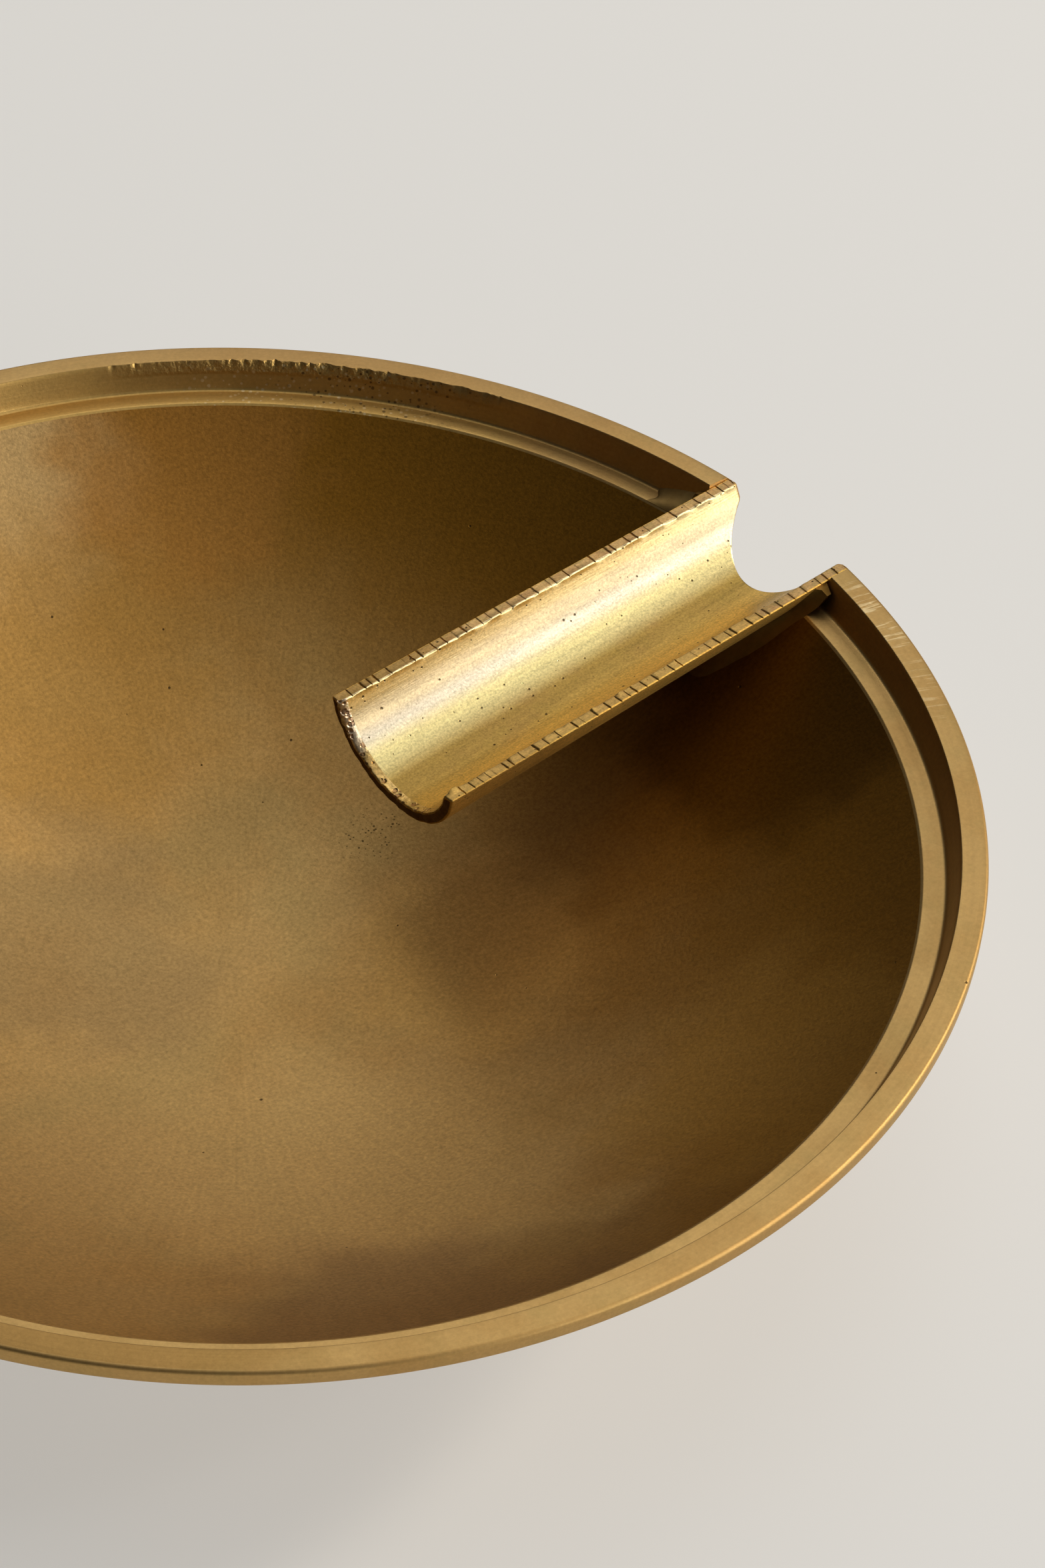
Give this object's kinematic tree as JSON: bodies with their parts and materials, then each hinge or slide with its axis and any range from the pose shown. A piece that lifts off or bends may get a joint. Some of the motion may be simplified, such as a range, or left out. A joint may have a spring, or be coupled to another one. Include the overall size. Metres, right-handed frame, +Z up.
{
  "type": "ashtray",
  "caption": "Round turned brass ashtray: shallow bowl with a rebated rim and a half-round cigarette rest soldered into a notch.",
  "frame": {"origin": "middle of the foot, at the height of the table", "axes": "+Z up, square to the foot; the cigarette rest points out along +X"},
  "size_m": [0.1097, 0.11, 0.022],
  "materials": {
    "bowl_brass": "satin, blasted and lightly aged",
    "rest_brass": "brushed along its length",
    "solder_grey": "dull grey silver solder, an alloy of copper, zinc and silver"
  },
  "bodies": {
    "root": {"bowl": "bowl_brass", "cigarette_rest": "rest_brass", "solder_fillet": "solder_grey"}
  },
  "joints": []
}
